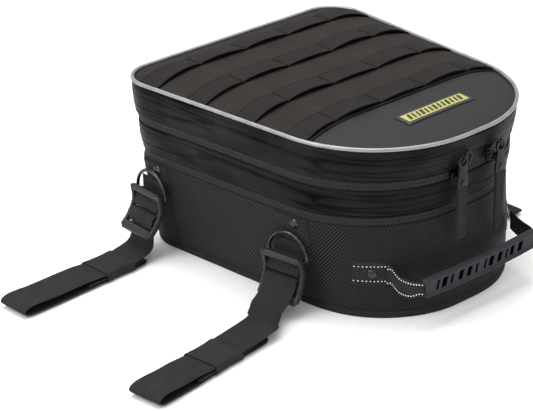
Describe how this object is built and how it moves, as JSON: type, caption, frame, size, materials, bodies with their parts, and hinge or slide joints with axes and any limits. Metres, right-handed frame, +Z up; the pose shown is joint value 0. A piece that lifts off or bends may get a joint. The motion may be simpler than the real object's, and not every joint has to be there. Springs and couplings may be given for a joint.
{
  "type": "motorcycle tail bag",
  "caption": "Black soft motorcycle tail bag with a domed zip lid, webbing rows, expansion zip, rear carry handle and buckled tie-down straps.",
  "frame": {"origin": "centre of the flat base's underside, half way along the 350 mm outline", "axes": "+Z up; -Y towards the rounded rear end with the carry handle; -X towards the left side, where the two straps that are laid out full length are"},
  "size_m": [0.6914, 0.367, 0.1892],
  "materials": {
    "coated_fabric": "smooth coated nylon, semi-matt",
    "ballistic_nylon": "coarse diagonal weave",
    "lid_fabric": "fine plain weave",
    "cordura_panel": "plain weave, brownish black",
    "webbing": "woven nylon webbing",
    "lining": "thin woven lining over foam",
    "piping": "reflective piping",
    "zip_tape": "woven tape with coil teeth",
    "gusset_fabric": "thin coated fabric, folded",
    "stiffener": "polyethylene sheet",
    "base_fabric": "coated base fabric",
    "buckle_plastic": "moulded acetal",
    "dark_metal": "black nickel",
    "slider_metal": "black enamel",
    "grip_rubber": "moulded soft rubber",
    "patch_rubber": "black badge with a yellow frame",
    "elastic": "ribbed elastic"
  },
  "bodies": {
    "body": {"base_panel": "base_fabric", "base_stiffener": "stiffener", "base_binding": "webbing", "lower_shell": "ballistic_nylon", "lower_lining": "lining", "expansion_zip_lower": "zip_tape", "side_tabs": "webbing", "handle_anchor_left": "webbing", "handle_anchor_right": "webbing", "rivets": "dark_metal", "hanger_front_left": "webbing", "hanger_rear_left": "webbing", "hanger_front_right": "webbing", "hanger_rear_right": "webbing"},
    "middle": {"expansion_zip_upper": "zip_tape", "middle_band": "coated_fabric", "middle_lining": "lining", "main_zip_lower": "zip_tape", "lid_hinge_tape": "coated_fabric", "gusset": "gusset_fabric"},
    "lid": {"main_zip_upper": "zip_tape", "lid_band": "coated_fabric", "lid_lining": "lining", "lid_board": "stiffener", "lid_pocket": "lining", "lid_panel": "lid_fabric", "lid_piping": "piping", "molle_panel": "cordura_panel", "molle_row_1": "webbing", "molle_row_2": "webbing", "molle_row_3": "webbing", "molle_row_4": "webbing", "patch": "patch_rubber"},
    "handle": {"handle_webbing": "webbing", "handle_grip": "grip_rubber"},
    "main_slider_left": {"main_slider_left": "slider_metal"},
    "main_slider_right": {"main_slider_right": "slider_metal"},
    "pull_left": {"pull_left": "slider_metal", "pull_tail_left": "webbing"},
    "pull_right": {"pull_right": "slider_metal", "pull_tail_right": "webbing"},
    "expansion_slider": {"expansion_slider": "slider_metal"},
    "expansion_pull": {"expansion_pull": "slider_metal"},
    "d_ring_front_left": {"d_ring_front_left": "dark_metal"},
    "buckle_front_left": {"buckle_front_left": "buckle_plastic"},
    "strap_front_left": {"strap_front_left": "webbing"},
    "keeper_front_left": {"keeper_front_left": "elastic"},
    "d_ring_rear_left": {"d_ring_rear_left": "dark_metal"},
    "buckle_rear_left": {"buckle_rear_left": "buckle_plastic"},
    "strap_rear_left": {"strap_rear_left": "webbing"},
    "keeper_rear_left": {"keeper_rear_left": "elastic"},
    "d_ring_front_right": {"d_ring_front_right": "dark_metal"},
    "buckle_front_right": {"buckle_front_right": "buckle_plastic"},
    "strap_front_right": {"strap_front_right": "webbing"},
    "keeper_front_right": {"keeper_front_right": "elastic"},
    "d_ring_rear_right": {"d_ring_rear_right": "dark_metal"},
    "buckle_rear_right": {"buckle_rear_right": "buckle_plastic"},
    "strap_rear_right": {"strap_rear_right": "webbing"},
    "keeper_rear_right": {"keeper_rear_right": "elastic"}
  },
  "joints": [
    {"name": "expansion", "type": "slide", "parent": "body", "child": "middle", "axis": [0, 0, 1], "range_m": [0, 0.038], "deforming": ["gusset"]},
    {"name": "lid_hinge", "type": "hinge", "parent": "middle", "child": "lid", "pos_m": [0, 0.1725, 0.1433], "axis": [-1, 0, 0], "range_deg": [0, 105]},
    {"name": "handle_lift", "type": "hinge", "parent": "body", "child": "handle", "pos_m": [0, -0.145, 0.048], "axis": [-1, 0, 0], "range_deg": [0, 12]},
    {"name": "zip_travel_left", "type": "hinge", "parent": "middle", "child": "main_slider_left", "pos_m": [0, 0.4745, 0.1388], "axis": [0, 0, 1], "range_deg": [-4.5, 0.8]},
    {"name": "pull_swing_left", "type": "hinge", "parent": "main_slider_left", "child": "pull_left", "pos_m": [-0.01803, -0.17595, 0.16], "axis": [-0.9996, 0.0281, 0], "range_deg": [0, 100]},
    {"name": "zip_travel_right", "type": "hinge", "parent": "middle", "child": "main_slider_right", "pos_m": [0, 0.4745, 0.1388], "axis": [0, 0, 1], "range_deg": [-0.8, 3]},
    {"name": "pull_swing_right", "type": "hinge", "parent": "main_slider_right", "child": "pull_right", "pos_m": [0.03405, -0.17529, 0.16], "axis": [-0.9986, -0.0531, 0], "range_deg": [0, 100]},
    {"name": "expansion_zip_travel", "type": "slide", "parent": "body", "child": "expansion_slider", "axis": [1, 0, 0], "range_m": [-0.11, 0.035]},
    {"name": "expansion_pull_swing", "type": "hinge", "parent": "expansion_slider", "child": "expansion_pull", "pos_m": [0.06, 0.172, 0.1022], "axis": [1, 0, 0], "range_deg": [0, 100]},
    {"name": "ring_swing_front_left", "type": "hinge", "parent": "body", "child": "d_ring_front_left", "pos_m": [-0.15246, 0.125, 0.062], "axis": [-0.0349, -0.9994, 0], "range_deg": [0, 12]},
    {"name": "buckle_swing_front_left", "type": "hinge", "parent": "body", "child": "buckle_front_left", "pos_m": [-0.15796, 0.12519, 0.051], "axis": [0.0349, 0.9994, 0], "range_deg": [-25, 2]},
    {"name": "strap_lift_front_left", "type": "hinge", "parent": "buckle_front_left", "child": "strap_front_left", "pos_m": [-0.16604, 0.12547, 0.02307], "axis": [0.0349, 0.9994, 0], "range_deg": [0, 8]},
    {"name": "keeper_slide_front_left", "type": "slide", "parent": "strap_front_left", "child": "keeper_front_left", "axis": [-0.9988, -0.0482, 0], "range_m": [-0.005, 0.06]},
    {"name": "ring_swing_rear_left", "type": "hinge", "parent": "body", "child": "d_ring_rear_left", "pos_m": [-0.13514, -0.06, 0.053], "axis": [0.1564, -0.9877, 0], "range_deg": [-3, 18]},
    {"name": "buckle_swing_rear_left", "type": "hinge", "parent": "body", "child": "buckle_rear_left", "pos_m": [-0.14057, -0.06086, 0.042], "axis": [-0.1564, 0.9877, 0], "range_deg": [-15, 8]},
    {"name": "strap_lift_rear_left", "type": "hinge", "parent": "buckle_rear_left", "child": "strap_rear_left", "pos_m": [-0.14353, -0.06133, 0.03], "axis": [-0.1564, 0.9877, 0], "range_deg": [0, 60]},
    {"name": "keeper_slide_rear_left", "type": "slide", "parent": "strap_rear_left", "child": "keeper_rear_left", "axis": [-0.9913, -0.1318, 0], "range_m": [-0.03, 0.05]},
    {"name": "ring_swing_front_right", "type": "hinge", "parent": "body", "child": "d_ring_front_right", "pos_m": [0.15246, 0.125, 0.062], "axis": [-0.0349, 0.9994, 0], "range_deg": [0, 12]},
    {"name": "buckle_swing_front_right", "type": "hinge", "parent": "body", "child": "buckle_front_right", "pos_m": [0.15796, 0.12519, 0.051], "axis": [0.0349, -0.9994, 0], "range_deg": [-25, 2]},
    {"name": "strap_lift_front_right", "type": "hinge", "parent": "buckle_front_right", "child": "strap_front_right", "pos_m": [0.16604, 0.12547, 0.02307], "axis": [0.0349, -0.9994, 0], "range_deg": [0, 8]},
    {"name": "keeper_slide_front_right", "type": "slide", "parent": "strap_front_right", "child": "keeper_front_right", "axis": [0.9988, -0.0482, 0], "range_m": [-0.005, 0.06]},
    {"name": "ring_swing_rear_right", "type": "hinge", "parent": "body", "child": "d_ring_rear_right", "pos_m": [0.13514, -0.06, 0.053], "axis": [0.1564, 0.9877, 0], "range_deg": [-3, 18]},
    {"name": "buckle_swing_rear_right", "type": "hinge", "parent": "body", "child": "buckle_rear_right", "pos_m": [0.14057, -0.06086, 0.042], "axis": [-0.1564, -0.9877, 0], "range_deg": [-3, 8]},
    {"name": "strap_lift_rear_right", "type": "hinge", "parent": "buckle_rear_right", "child": "strap_rear_right", "pos_m": [0.14353, -0.06133, 0.03], "axis": [-0.1564, -0.9877, 0], "range_deg": [0, 60]},
    {"name": "keeper_slide_rear_right", "type": "slide", "parent": "strap_rear_right", "child": "keeper_rear_right", "axis": [0, 1, 0], "range_m": [-0.022, 0.03]}
  ]
}
